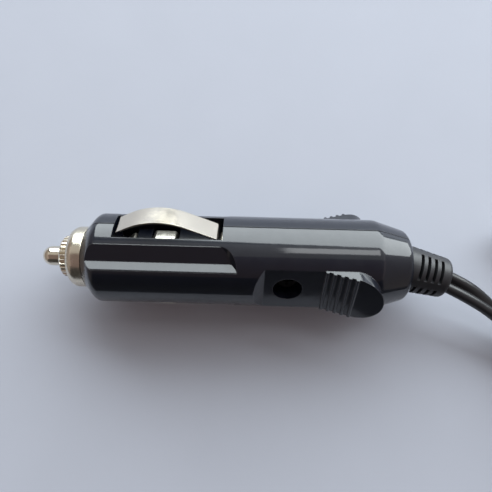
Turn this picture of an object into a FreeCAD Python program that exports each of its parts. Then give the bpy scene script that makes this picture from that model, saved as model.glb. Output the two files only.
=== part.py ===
import FreeCAD, Part
import math
import os

from FreeCAD import Matrix, Rotation, Vector

# Cigarette lighter plug: a 12 V vehicle plug with a twin lead that ends in a small DC plug.
# Millimetres. X is the plug's axis with its tip towards -X, and Z is up.
# The origin is on the axis, in the plain band of the barrel between the grooves and the grip.
# The plug is drawn with its leaf springs up and down and its half shells to the front and the back,
# and is then rolled about X to the attitude in which it lies on a flat surface.

# Barrel and nose of the moulded half shells
BARREL_R = 10.35
BARREL_FRONT_X = -33.2
BARREL_REAR_X = 29.0
NOSE_FACE_X = -36.1
NOSE_FACE_R = 7.1
NOSE_EDGE_ROUND = 0.6
CONE_ROUND = 2.5
NECK_R = 5.9
NECK_LENGTH = 3.1
NECK_ROUND = 1.4
TAPER_ROUND = 4.0
REAR_FACE_X = 36.8
REAR_EDGE_R = 7.89
REAR_ROUND = 2.0
SHELL_WALL = 2.05
JOINT_LINE_WIDTH = 0.2
JOINT_LINE_DEPTH = 0.2

# Screw-on nose cap
CAP_GAP = 0.1
CAP_SKIRT_R = 7.0
CAP_SKIRT_LENGTH = 4.0
CAP_SKIRT_WALL = 0.8
CAP_SHOULDER_ROUND = 2.2
CAP_INNER_ROUND = 1.4
CAP_RIM_ROUND = 0.15
CAP_STEP_R = 4.7
CAP_STEP_LENGTH = 1.8
CAP_STEP_WALL = 0.8
CAP_FRONT_WALL = 1.0
CAP_STEP_CHAMFER = 0.45
CAP_TEETH = 28
CAP_TOOTH_DEPTH = 0.38
CAP_TOOTH_WIDTH = 0.62

# Contact pin and its spring
PIN_R = 2.25
PIN_REACH = 5.2
PIN_HEAD_GAP = 0.05
PIN_SHANK_R = 2.05
PIN_HOLE_CLEARANCE = 0.08
PIN_FLANGE_R = 3.5
PIN_FLANGE_THICKNESS = 1.0
PIN_SPIGOT_R = 1.8
PIN_SPIGOT_LENGTH = 1.2
SPRING_R = 2.3
SPRING_LENGTH = 9.0
SPRING_WIRE_R = 0.3
SPRING_TURNS = 6
CHAMBER_CLEARANCE = 0.3
CHAMBER_STOP = 0.5

# Glass fuse
FUSE_LENGTH = 20.0
FUSE_CAP_R = 2.6
FUSE_CAP_LENGTH = 5.0
FUSE_CAP_WALL = 0.2
FUSE_CAP_END = 0.3
FUSE_GLASS_WALL = 0.5
FUSE_WIRE_R = 0.12
FUSE_CLEARANCE = 0.2
METAL_FIT = 0.05

# Windows for the leaf springs, on the parting plane
WINDOW_FRONT_X = -28.8
WINDOW_REAR_X = -5.05
WINDOW_HALF_WIDTH = 3.64
WINDOW_FLOOR_WALL = 0.75
STRIP_CLEARANCE = 0.1

# Leaf springs
LEAF_WIDTH = 5.2
LEAF_THICKNESS = 0.4
LEAF_LIP_X = -28.1
LEAF_LIP_DROP = 0.6
LEAF_FRONT_X = -27.95
LEAF_FRONT_ABOVE_BARREL = -0.2
LEAF_CREST_X = -19.3
LEAF_CREST_ABOVE_BARREL = 4.25
LEAF_CREST_ROUND = 14.0
LEAF_KNEE_X = -6.2
LEAF_KNEE_ABOVE_BARREL = -1.5
LEAF_FOOT_X = -5.6
LEAF_BEND = 0.6
LEAF_FOOT_GAP = 0.15

# Folded ground strap that both leaf springs stand on, with its bends at depths below the barrel
STRAP_WIDTH = 5.0
STRAP_THICKNESS = 0.4
STRAP_BEND = 0.45
STRAP_TIP_X = -27.2
STRAP_TIP_ABOVE_FLOOR = 0.55
STRAP_RAMP_X = -25.3
STRAP_RAMP_DEPTH = 4.5
STRAP_LOW_DEPTH = 5.45
STRAP_HIGH_DEPTH = 3.85
STRAP_HEEL_DEPTH = 3.6
STRAP_HIGH_FRONT_X = -20.5
STRAP_HIGH_REAR_X = -16.0
STRAP_HEEL_X = -7.6
STRAP_BASE_X = 1.6
STRAP_SLOPE = 0.6
STRAP_HOLE_R = 2.35

# Ribs moulded across the windows, over the ground strap
FRONT_RIB_X = (-24.6, -21.4)
FRONT_RIB_DEPTH = 4.45
REAR_RIB_X = (-15.0, -8.3)
REAR_RIB_DEPTH = 3.9
RIB_ROOT = 0.4

# Grooves along the front of both shells
GROOVE_WALL_OFFSET = 5.0
GROOVE_DEPTH_TO_AXIS = 6.1
GROOVE_FLOOR_TILT = 15.0
GROOVE_END_X = -5.8
GROOVE_RAMP_R = 4.3

# Flat on each shell, with the hole for the assembly screw
FLAT_HEIGHT = 8.5
FLAT_FRONT_X = 4.1
FLAT_SLOPE_LENGTH = 2.3
SCREW_X = 9.35
SCREW_HOLE_R = 3.25
SCREW_SEAT = 4.2
SCREW_HEAD_R = 2.7
SCREW_HEAD_HEIGHT = 1.7
SCREW_HEAD_ROUND = 0.8
SCREW_SHANK_R = 1.45
SCREW_LENGTH = 9.6
SCREW_TIP_LENGTH = 1.2
SCREW_TIP_R = 0.5
SCREW_SHANK_CLEARANCE = 0.15
SCREW_CROSS_LENGTH = 3.0
SCREW_CROSS_WIDTH = 0.6
SCREW_CROSS_DEPTH = 0.9
BOSS_WALL = 1.1

# Ribbed grip wedge on each shell
WEDGE_FRONT_X = 17.0
WEDGE_LOW = 8.5
WEDGE_HALF_WIDTH = 6.0
WEDGE_CENTRE_X = 23.5
WEDGE_SLOPE = 0.337
WEDGE_RIBS = 5
WEDGE_RIB_FIRST_X = 17.4
WEDGE_RIB_PITCH = 1.5
WEDGE_RIB_R = 0.42

# Rear contact behind the fuse
CONTACT_WIDTH = 3.6
CONTACT_THICKNESS = 0.4
CONTACT_HALF_HEIGHT = 2.4
CONTACT_REAR_X = -2.0
CONTACT_CHAMBER_R = 3.4
CONTACT_CHAMBER_REAR_X = -1.0

# Wires inside
WIRE_R = 0.95
WIRE_ENTRY_H = 1.35
WIRE_CLEARANCE = 0.3
WIRE_KNEE_LENGTH = 1.4
WIRE_END_LENGTH = 5.0
POSITIVE_WIRE_START_X = -6.0

# Room for the wires in the rear of the shells
ROOM_FRONT_X = 2.5
ROOM_HALF_DEPTH = 6.5
ROOM_ROUND = 0.5
ROOM_COLLAR = 1.0
REAR_WALL = 2.6

# Strain relief, bent sideways where it leaves the shells
RELIEF_ROLL = 10.0
RELIEF_BEND = 13.0
RELIEF_PIVOT_X = 34.3
RELIEF_FLANGE_R = 6.1
RELIEF_FLANGE_THICKNESS = 1.6
RELIEF_STEM_R = 4.6
RELIEF_BASE_R = 5.4
RELIEF_BASE_LENGTH = 1.0
RELIEF_TIP_R = 4.6
RELIEF_LENGTH = 12.5
RELIEF_TIP_ROUND = 1.2
RELIEF_CORE_R = 3.3
RELIEF_SLOTS = 4
RELIEF_SLOT_FIRST = 5.0
RELIEF_SLOT_PITCH = 1.6
RELIEF_SLOT_WIDTH = 0.7
RELIEF_SPINE_HALF_WIDTH = 0.95
RELIEF_CLEARANCE = 0.05

# Twin lead: its free stretch, its hank and the stretch to the DC plug
LEAD_WIDTH = 5.2
LEAD_THICKNESS = 2.6
COIL_MEAN_R = 18.3
COIL_RUN = 38.0
COIL_COLUMNS = 3
COIL_LAYERS = 2
COIL_SPACING = 0.1
COIL_TIE = 0.4
COIL_CENTRE = (95.7, -18.1)
COIL_EDGE_ROUND = 2.0
LEAD_ROUTE = [
    (45.0, -2.7, 0.2),
    (51.3, -5.2, -0.3),
    (60.3, -10.5, -3.6),
    (70.3, -19.5, -8.2),
    (78.3, -29.8, -8.7),
]
TAIL_STEP = 5.6
TAIL_SHARES = [0.0, 0.04, 0.27, 0.64, 0.93, 1.0, 1.0]
DC_GAP = 0.3

# DC plug at the lead's far end, measured from where the lead enters it
DC_RELIEF_R = 3.1
DC_RELIEF_FLARE = 0.6
DC_RELIEF_ROUND = 0.4
DC_RELIEF_LENGTH = 7.0
DC_BODY_R = 4.75
DC_BODY_LENGTH = 17.0
DC_BODY_ROUND = 1.2
DC_BODY_FRONT_ROUND = 0.6
DC_SLEEVE_R = 2.75
DC_SLEEVE_WALL = 0.45
DC_SLEEVE_REACH = 9.5
DC_STEM_R = 2.55
DC_STEM_LENGTH = 6.0
DC_BORE_R = 1.05
DC_CONTACT_WALL = 0.35
DC_INSULATOR_RECESS = 0.6
DC_CONTACT_RECESS = 1.0
DC_GRIP_START = 3.0
DC_GRIP_RINGS = 4
DC_GRIP_PITCH = 2.2
DC_GRIP_DEPTH = 0.35

# How far cutting solids run past what they cut, and fused ones into their neighbours
OVERRUN = 1.0
OVERLAP = 0.1

# What is worked out from the sizes above
AXIS = Vector(1, 0, 0)
UP = Vector(0, 0, 1)
ORIGIN = Vector(0, 0, 0)
FAR = 60.0
BEND_SHARE = 0.45

neck_front_x = NOSE_FACE_X - NECK_LENGTH
skirt_rear_x = NOSE_FACE_X - CAP_GAP
skirt_front_x = skirt_rear_x - CAP_SKIRT_LENGTH
cap_front_x = skirt_front_x - CAP_STEP_LENGTH
flange_front_x = cap_front_x + CAP_FRONT_WALL
flange_rear_x = flange_front_x + PIN_FLANGE_THICKNESS
spring_chamber_r = PIN_FLANGE_R + CHAMBER_CLEARANCE
fuse_front_x = flange_rear_x + SPRING_LENGTH
fuse_rear_x = fuse_front_x + FUSE_LENGTH
contact_front_x = fuse_rear_x
room_rear_x = REAR_FACE_X - REAR_WALL
relief_flange_x = room_rear_x - RELIEF_FLANGE_THICKNESS
fuse_bore_r = FUSE_CAP_R + FUSE_CLEARANCE
boss_r = SCREW_HOLE_R + BOSS_WALL
window_floor_h = fuse_bore_r + WINDOW_FLOOR_WALL
front_rib_h = BARREL_R - FRONT_RIB_DEPTH
rear_rib_h = BARREL_R - REAR_RIB_DEPTH
strap_heel_h = BARREL_R - STRAP_HEEL_DEPTH
leaf_front_h = BARREL_R + LEAF_FRONT_ABOVE_BARREL
leaf_crest_h = BARREL_R + LEAF_CREST_ABOVE_BARREL
leaf_knee_h = BARREL_R + LEAF_KNEE_ABOVE_BARREL
wedge_rear_x = WEDGE_CENTRE_X + WEDGE_HALF_WIDTH
wedge_rear_h = WEDGE_LOW + (wedge_rear_x - WEDGE_FRONT_X) * WEDGE_SLOPE
hank_half_width = COIL_COLUMNS * (LEAD_THICKNESS + COIL_SPACING) / 2 + COIL_TIE
wedge_centre_h = WEDGE_LOW + (WEDGE_CENTRE_X - WEDGE_FRONT_X) * WEDGE_SLOPE

# The roll that lets the lower leaf spring and the far wedge touch the surface together
ROLL = 40.7
roll = math.radians(ROLL)
wedge_reach = math.hypot(WEDGE_HALF_WIDTH * math.cos(roll), WEDGE_HALF_WIDTH * WEDGE_SLOPE * math.sin(roll))
floor_z = -(wedge_centre_h * math.sin(roll) + wedge_reach)


def rounded_outline(corners):
    """Closed wire in the XZ plane through corners (x, z, radius), each rounded by its radius."""
    points = [Vector(x, 0, z) for x, z, radius in corners]
    starts = []
    middles = []
    ends = []
    for i, (x, z, radius) in enumerate(corners):
        here = points[i]
        if radius == 0:
            starts.append(here)
            middles.append(None)
            ends.append(here)
            continue
        back = (points[i - 1] - here).normalize()
        ahead = (points[(i + 1) % len(points)] - here).normalize()
        half_angle = back.getAngle(ahead) / 2
        reach = radius / math.tan(half_angle)
        inwards = (back + ahead).normalize()
        starts.append(here + back * reach)
        middles.append(here + inwards * (radius / math.sin(half_angle) - radius))
        ends.append(here + ahead * reach)
    edges = []
    for i in range(len(points)):
        if middles[i] is not None:
            edges.append(Part.Arc(starts[i], middles[i], ends[i]).toShape())
        following = starts[(i + 1) % len(points)]
        if ends[i].distanceToPoint(following) > 1e-6:
            edges.append(Part.makeLine(ends[i], following))
    return Part.Wire(edges)


def turned(corners):
    """Solid of revolution about X."""
    return Part.Face(rounded_outline(corners)).revolve(ORIGIN, AXIS, 360)


def extruded(corners, half_width):
    """Outline in the XZ plane, extruded to both sides of it."""
    face = Part.Face(rounded_outline(corners))
    face.translate(Vector(0, -half_width, 0))
    return face.extrude(Vector(0, 2 * half_width, 0))


def cylinder(radius, front_x, rear_x):
    return Part.makeCylinder(radius, rear_x - front_x, Vector(front_x, 0, 0), AXIS)


def tube(outer_r, inner_r, front_x, rear_x):
    return cylinder(outer_r, front_x, rear_x).cut(cylinder(inner_r, front_x - OVERRUN, rear_x + OVERRUN))


def box(x_range, y_range, z_range):
    size = [high - low for low, high in (x_range, y_range, z_range)]
    return Part.makeBox(*size, Vector(x_range[0], y_range[0], z_range[0]))


def half_turned(shape):
    """The same shape on the other side of the plug."""
    other = shape.copy()
    other.rotate(ORIGIN, AXIS, 180)
    return other


def strip_outline(path, thickness):
    """Outline of a folded strip whose middle follows path, given as (x, z, bend radius)."""
    points = [Vector(x, 0, z) for x, z, bend in path]
    sides = ([], [])
    for i, (x, z, bend) in enumerate(path):
        before = (points[i] - points[max(i - 1, 0)])
        after = (points[min(i + 1, len(points) - 1)] - points[i])
        if i == 0:
            before = after
        if i == len(points) - 1:
            after = before
        before = before.normalize()
        after = after.normalize()
        left_before = Vector(-before.z, 0, before.x)
        left_after = Vector(-after.z, 0, after.x)
        mitre = (left_before + left_after) * (1 / (1 + left_before.dot(left_after)))
        turns_left = before.x * after.z - before.z * after.x > 0
        for side, sign in zip(sides, (1, -1)):
            corner = points[i] + mitre * (sign * thickness / 2)
            inner = turns_left == (sign > 0)
            radius = 0
            if bend > 0:
                radius = bend - thickness / 2 if inner else bend + thickness / 2
            side.append((corner.x, corner.z, radius))
    return sides[0] + sides[1][::-1]


def folded_strip(path, thickness, width):
    return extruded(strip_outline(path, thickness), width / 2)


def rolled(shape):
    """From the drawn attitude to the one in which the plug lies."""
    shape = shape.copy()
    shape.rotate(ORIGIN, AXIS, -ROLL)
    return shape


# Paths of the folded strips, as they run in the upper half of the plug

def leaf_path():
    """Middle of the upper leaf spring, from its lip to its foot."""
    drop = LEAF_THICKNESS / 2
    foot_h = strap_heel_h + LEAF_FOOT_GAP
    return [
        (LEAF_LIP_X, leaf_front_h - LEAF_LIP_DROP, 0),
        (LEAF_FRONT_X, leaf_front_h - drop, LEAF_BEND),
        (LEAF_CREST_X, leaf_crest_h - drop, LEAF_CREST_ROUND),
        (LEAF_KNEE_X, leaf_knee_h - drop, LEAF_BEND),
        (LEAF_FOOT_X, foot_h, 0),
    ]


def strap_arm_path():
    """Middle of the strap's upper arm, from its tip to the middle of its base."""
    half = STRAP_THICKNESS / 2
    top = BARREL_R - half
    low = top - STRAP_LOW_DEPTH
    high = top - STRAP_HIGH_DEPTH
    heel = top - STRAP_HEEL_DEPTH
    return [
        (STRAP_TIP_X, window_floor_h + STRAP_TIP_ABOVE_FLOOR - half, 0),
        (STRAP_RAMP_X, top - STRAP_RAMP_DEPTH, STRAP_BEND),
        (STRAP_RAMP_X + STRAP_SLOPE, low, STRAP_BEND),
        (STRAP_HIGH_FRONT_X - STRAP_SLOPE, low, STRAP_BEND),
        (STRAP_HIGH_FRONT_X, high, STRAP_BEND),
        (STRAP_HIGH_REAR_X, high, STRAP_BEND),
        (STRAP_HIGH_REAR_X + STRAP_SLOPE, low, STRAP_BEND),
        (STRAP_HEEL_X - STRAP_SLOPE * 2, low, STRAP_BEND),
        (STRAP_HEEL_X, heel, STRAP_BEND),
        (STRAP_BASE_X, heel, STRAP_BEND),
    ]


def strap_path():
    upper = strap_arm_path()
    lower = [(x, -z, bend) for x, z, bend in reversed(upper)]
    return upper + lower


# Half shells

def shell_blank():
    """Outside of both shells together, before windows, grooves and flats."""
    return turned([
        (neck_front_x, 0, 0),
        (neck_front_x, NECK_R, NECK_ROUND),
        (NOSE_FACE_X, NECK_R, 0),
        (NOSE_FACE_X, NOSE_FACE_R, NOSE_EDGE_ROUND),
        (BARREL_FRONT_X, BARREL_R, CONE_ROUND),
        (BARREL_REAR_X, BARREL_R, TAPER_ROUND),
        (REAR_FACE_X, REAR_EDGE_R, REAR_ROUND),
        (REAR_FACE_X, 0, 0),
    ])


def joint_line_cut():
    """Shallow slit around the outside where the two shells meet."""
    depth = JOINT_LINE_DEPTH
    inside = turned([
        (NOSE_FACE_X + depth, 0, 0),
        (NOSE_FACE_X + depth, NOSE_FACE_R - depth, NOSE_EDGE_ROUND),
        (BARREL_FRONT_X, BARREL_R - depth, CONE_ROUND),
        (BARREL_REAR_X, BARREL_R - depth, TAPER_ROUND),
        (REAR_FACE_X - depth, REAR_EDGE_R - depth, REAR_ROUND),
        (REAR_FACE_X - depth, 0, 0),
    ])
    neck = cylinder(NECK_R + depth, neck_front_x - OVERRUN, NOSE_FACE_X)
    half_width = JOINT_LINE_WIDTH / 2
    slab = box((neck_front_x - OVERRUN, REAR_FACE_X + OVERRUN), (-half_width, half_width), (-FAR, FAR))
    return slab.cut([inside, neck])


def wedge_outline():
    """Plan of the near wedge: straight sides and a round rear end, as an upright prism."""
    lower_front = Vector(WEDGE_FRONT_X, 0, -WEDGE_HALF_WIDTH)
    upper_front = Vector(WEDGE_FRONT_X, 0, WEDGE_HALF_WIDTH)
    upper_rear = Vector(WEDGE_CENTRE_X, 0, WEDGE_HALF_WIDTH)
    lower_rear = Vector(WEDGE_CENTRE_X, 0, -WEDGE_HALF_WIDTH)
    edges = [
        Part.makeLine(upper_rear, upper_front),
        Part.makeLine(upper_front, lower_front),
        Part.makeLine(lower_front, lower_rear),
        Part.Arc(lower_rear, Vector(wedge_rear_x, 0, 0), upper_rear).toShape(),
    ]
    plan = Part.Face(Part.Wire(edges))
    plan.translate(Vector(0, -ROOM_HALF_DEPTH, 0))
    return plan.extrude(Vector(0, -FAR, 0))


def near_wedge():
    """Grip wedge of the near shell, with its ribs."""
    side = Part.makePolygon([
        Vector(WEDGE_FRONT_X, -ROOM_HALF_DEPTH, 0),
        Vector(WEDGE_FRONT_X, -WEDGE_LOW, 0),
        Vector(wedge_rear_x, -wedge_rear_h, 0),
        Vector(wedge_rear_x, -ROOM_HALF_DEPTH, 0),
        Vector(WEDGE_FRONT_X, -ROOM_HALF_DEPTH, 0),
    ])
    ramp = Part.Face(side)
    ramp.translate(Vector(0, 0, -WEDGE_HALF_WIDTH))
    solid = ramp.extrude(Vector(0, 0, 2 * WEDGE_HALF_WIDTH))
    for i in range(WEDGE_RIBS):
        x = WEDGE_RIB_FIRST_X + i * WEDGE_RIB_PITCH
        height = WEDGE_LOW + (x - WEDGE_FRONT_X) * WEDGE_SLOPE
        start = Vector(x, -height, -WEDGE_HALF_WIDTH)
        rib = Part.makeCylinder(WEDGE_RIB_R, 2 * WEDGE_HALF_WIDTH, start, Vector(0, 0, 1))
        solid = solid.fuse(rib)
    return solid.common(wedge_outline()).removeSplitter()


def near_flat_cut():
    """What is taken off the near shell over the flat and in front of the wedge."""
    slope_x = FLAT_FRONT_X - FLAT_SLOPE_LENGTH
    above = BARREL_R + OVERRUN
    crown_x = WEDGE_FRONT_X + (above - WEDGE_LOW) / WEDGE_SLOPE
    side = Part.makePolygon([
        Vector(slope_x - (above - BARREL_R), -above, 0),
        Vector(slope_x, -BARREL_R, 0),
        Vector(FLAT_FRONT_X, -FLAT_HEIGHT, 0),
        Vector(WEDGE_FRONT_X, -WEDGE_LOW, 0),
        Vector(crown_x, -above, 0),
        Vector(slope_x - (above - BARREL_R), -above, 0),
    ])
    face = Part.Face(side)
    face.translate(Vector(0, 0, -BARREL_R))
    return face.extrude(Vector(0, 0, 2 * BARREL_R))


def groove_cut():
    """One groove of the near shell: an upright wall, a tilted floor and an end that ramps out."""
    start_x = neck_front_x
    depth = GROOVE_DEPTH_TO_AXIS
    quarter = math.sqrt(0.5)
    ramp_middle = Vector(
        GROOVE_END_X + GROOVE_RAMP_R * quarter,
        -(depth + GROOVE_RAMP_R * (1 - quarter)),
        GROOVE_WALL_OFFSET,
    )
    corner = Vector(GROOVE_END_X, -depth, GROOVE_WALL_OFFSET)
    ramp_end = Vector(GROOVE_END_X + GROOVE_RAMP_R, -(depth + GROOVE_RAMP_R), GROOVE_WALL_OFFSET)
    front_low = Vector(start_x, -depth, GROOVE_WALL_OFFSET)
    front_high = Vector(start_x, ramp_end.y, GROOVE_WALL_OFFSET)
    face = Part.Face(Part.Wire([
        Part.makeLine(front_low, corner),
        Part.Arc(corner, ramp_middle, ramp_end).toShape(),
        Part.makeLine(ramp_end, front_high),
        Part.makeLine(front_high, front_low),
    ]))
    width = BARREL_R - GROOVE_WALL_OFFSET + OVERRUN
    return face.extrude(Vector(0, width * math.tan(math.radians(GROOVE_FLOOR_TILT)), width))


def mirrored_in_z(shape):
    flip = Matrix()
    flip.scale(1, 1, -1)
    return shape.transformGeometry(flip)


def rear_room():
    """Space for the wires in the rear of the shells, around the screw bosses."""
    radius = BARREL_R - SHELL_WALL
    rear_r = RELIEF_FLANGE_R + RELIEF_CLEARANCE
    round_room = turned([
        (ROOM_FRONT_X, 0, 0),
        (ROOM_FRONT_X, radius, ROOM_ROUND),
        (BARREL_REAR_X, radius, 0),
        (relief_flange_x - ROOM_COLLAR, rear_r, 0),
        (room_rear_x, rear_r, 0),
        (room_rear_x, 0, 0),
    ])
    reach = (ROOM_FRONT_X - OVERRUN, room_rear_x + OVERRUN)
    slab = box(reach, (-ROOM_HALF_DEPTH, ROOM_HALF_DEPTH), (-FAR, FAR))
    boss = Part.makeCylinder(boss_r, 2 * FAR, Vector(SCREW_X, -FAR, 0), Vector(0, 1, 0))
    return round_room.common(slab).cut(boss)


def screw_holes():
    """Counterbore and clearance hole of the near shell, and the core hole of the far one."""
    seat = -SCREW_SEAT
    counterbore = Part.makeCylinder(SCREW_HOLE_R, FAR, Vector(SCREW_X, seat, 0), Vector(0, -1, 0))
    clearance_r = SCREW_SHANK_R + SCREW_SHANK_CLEARANCE
    start = Vector(SCREW_X, seat - OVERRUN, 0)
    clearance = Part.makeCylinder(clearance_r, SCREW_SEAT + OVERRUN, start, Vector(0, 1, 0))
    core_r = SCREW_SHANK_R + METAL_FIT
    core_length = SCREW_LENGTH - SCREW_SEAT + SCREW_TIP_R
    core = Part.makeCylinder(core_r, core_length, Vector(SCREW_X, 0, 0), Vector(0, 1, 0))
    return [counterbore, clearance, core]


def window_cuts_and_ribs():
    """Pocket of the upper window, and the ribs that stand in it."""
    pocket = box(
        (WINDOW_FRONT_X, WINDOW_REAR_X),
        (-WINDOW_HALF_WIDTH, WINDOW_HALF_WIDTH),
        (window_floor_h, FAR),
    )
    root = WINDOW_HALF_WIDTH + RIB_ROOT
    floor = window_floor_h - OVERLAP
    under_heel = strap_heel_h - STRAP_THICKNESS
    ribs = [
        box(FRONT_RIB_X, (-root, root), (floor, front_rib_h)),
        box(REAR_RIB_X, (-root, root), (floor, rear_rib_h)),
        box((REAR_RIB_X[1], WINDOW_REAR_X + RIB_ROOT), (-root, root), (floor, under_heel)),
    ]
    return pocket, ribs


def shells():
    """Near and far half shells."""
    body = shell_blank()
    for cut in (near_flat_cut(), half_turned(near_flat_cut())):
        body = body.cut(cut)
    body = body.fuse([near_wedge(), half_turned(near_wedge())]).removeSplitter()
    groove = groove_cut()
    grooves = [groove, mirrored_in_z(groove)]
    grooves += [half_turned(one) for one in grooves]
    body = body.cut(grooves)
    pocket, ribs = window_cuts_and_ribs()
    body = body.cut([pocket, half_turned(pocket)])
    body = body.fuse(ribs + [half_turned(rib) for rib in ribs])
    slot_thickness = STRAP_THICKNESS + 2 * STRIP_CLEARANCE
    slot_width = STRAP_WIDTH + 2 * STRIP_CLEARANCE
    strap_slot = folded_strip(strap_path(), slot_thickness, slot_width)
    strap_reach = strap_heel_h + STRIP_CLEARANCE
    strap_seat = box(
        (STRAP_BASE_X, ROOM_FRONT_X + OVERLAP),
        (-slot_width / 2, slot_width / 2),
        (-strap_reach, strap_reach),
    )
    bores = [
        cylinder(spring_chamber_r, neck_front_x - OVERRUN, fuse_front_x - CHAMBER_STOP),
        cylinder(fuse_bore_r, fuse_front_x - OVERRUN, contact_front_x),
        cylinder(CONTACT_CHAMBER_R, contact_front_x - STRIP_CLEARANCE, CONTACT_CHAMBER_REAR_X),
        cylinder(STRAP_HOLE_R, CONTACT_CHAMBER_REAR_X - OVERRUN, ROOM_FRONT_X + OVERRUN),
        cylinder(RELIEF_STEM_R + RELIEF_CLEARANCE, room_rear_x - OVERRUN, REAR_FACE_X + OVERRUN),
    ]
    body = body.cut([strap_slot, strap_seat, rear_room(), joint_line_cut()] + bores + screw_holes())
    near_half = box((-FAR, FAR), (-FAR, 0), (-FAR, FAR))
    far_half = box((-FAR, FAR), (0, FAR), (-FAR, FAR))
    return body.common(near_half), body.common(far_half)


# Nose cap, pin and spring

def nose_cap():
    inner_r = CAP_SKIRT_R - CAP_SKIRT_WALL
    step_inner_r = CAP_STEP_R - CAP_STEP_WALL
    cap = turned([
        (cap_front_x, PIN_R + PIN_HOLE_CLEARANCE, 0),
        (cap_front_x, CAP_STEP_R - CAP_STEP_CHAMFER, 0),
        (cap_front_x + CAP_STEP_CHAMFER, CAP_STEP_R, 0),
        (skirt_front_x, CAP_STEP_R, 0),
        (skirt_front_x, CAP_SKIRT_R, CAP_SHOULDER_ROUND),
        (skirt_rear_x, CAP_SKIRT_R, CAP_RIM_ROUND),
        (skirt_rear_x, inner_r, 0),
        (skirt_front_x + CAP_SKIRT_WALL, inner_r, CAP_INNER_ROUND),
        (skirt_front_x + CAP_SKIRT_WALL, step_inner_r, 0),
        (flange_front_x, step_inner_r, 0),
        (flange_front_x, PIN_R + PIN_HOLE_CLEARANCE, 0),
    ])
    start_x = cap_front_x - OVERRUN
    notch = Part.Face(Part.makePolygon([
        Vector(start_x, -CAP_TOOTH_WIDTH / 2, CAP_STEP_R),
        Vector(start_x, 0, CAP_STEP_R - CAP_TOOTH_DEPTH),
        Vector(start_x, CAP_TOOTH_WIDTH / 2, CAP_STEP_R),
        Vector(start_x, 0, CAP_STEP_R + CAP_TOOTH_DEPTH),
        Vector(start_x, -CAP_TOOTH_WIDTH / 2, CAP_STEP_R),
    ])).extrude(Vector(CAP_STEP_LENGTH + OVERRUN, 0, 0))
    notches = []
    for i in range(CAP_TEETH):
        one = notch.copy()
        one.rotate(ORIGIN, AXIS, i * 360 / CAP_TEETH)
        notches.append(one)
    return cap.cut(notches)


def contact_pin():
    """Domed pin on a thinner shank, with the flange that keeps it in and the spigot in its spring."""
    tip_x = cap_front_x - PIN_REACH
    head_rear_x = cap_front_x - PIN_HEAD_GAP
    dome = math.sqrt(0.5) * PIN_R
    outline = Part.Wire([
        Part.Arc(
            Vector(tip_x, 0, 0),
            Vector(tip_x + PIN_R - dome, 0, dome),
            Vector(tip_x + PIN_R, 0, PIN_R),
        ).toShape(),
        Part.makePolygon([
            Vector(tip_x + PIN_R, 0, PIN_R),
            Vector(head_rear_x, 0, PIN_R),
            Vector(head_rear_x, 0, PIN_SHANK_R),
            Vector(flange_front_x, 0, PIN_SHANK_R),
            Vector(flange_front_x, 0, PIN_FLANGE_R),
            Vector(flange_rear_x, 0, PIN_FLANGE_R),
            Vector(flange_rear_x, 0, PIN_SPIGOT_R),
            Vector(flange_rear_x + PIN_SPIGOT_LENGTH, 0, PIN_SPIGOT_R),
            Vector(flange_rear_x + PIN_SPIGOT_LENGTH, 0, 0),
            Vector(tip_x, 0, 0),
        ]),
    ])
    return Part.Face(outline).revolve(ORIGIN, AXIS, 360)


def pin_spring():
    length = fuse_front_x - flange_rear_x - 2 * SPRING_WIRE_R
    helix = Part.makeHelix(length / SPRING_TURNS, length, SPRING_R)
    section = Part.Wire(Part.makeCircle(SPRING_WIRE_R, Vector(SPRING_R, 0, 0), Vector(0, 1, 0)))
    spring = Part.Wire(helix).makePipeShell([section], True, True)
    spring.rotate(ORIGIN, Vector(0, 1, 0), 90)
    spring.translate(Vector(flange_rear_x + SPRING_WIRE_R, 0, 0))
    return spring


# Fuse and contacts

def fuse_cap(front_x, closed_front):
    """Metal end cap of the fuse, an open cup over the glass."""
    rear_x = front_x + FUSE_CAP_LENGTH
    cup = cylinder(FUSE_CAP_R, front_x, rear_x)
    inner_r = FUSE_CAP_R - FUSE_CAP_WALL
    if closed_front:
        return cup.cut(cylinder(inner_r, front_x + FUSE_CAP_END, rear_x + OVERRUN))
    return cup.cut(cylinder(inner_r, front_x - OVERRUN, rear_x - FUSE_CAP_END))


def rear_contact():
    """Strip bent to an L: an upright face behind the fuse and a tail that takes the wire."""
    half = CONTACT_THICKNESS / 2
    return folded_strip(
        [
            (contact_front_x + half, CONTACT_HALF_HEIGHT, 0),
            (contact_front_x + half, -CONTACT_HALF_HEIGHT, STRAP_BEND),
            (CONTACT_REAR_X, -CONTACT_HALF_HEIGHT, 0),
        ],
        CONTACT_THICKNESS,
        CONTACT_WIDTH,
    )


def ground_strap():
    strap = folded_strip(strap_path(), STRAP_THICKNESS, STRAP_WIDTH)
    return strap.cut(cylinder(STRAP_HOLE_R, STRAP_BASE_X - OVERRUN, STRAP_BASE_X + OVERRUN))


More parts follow.
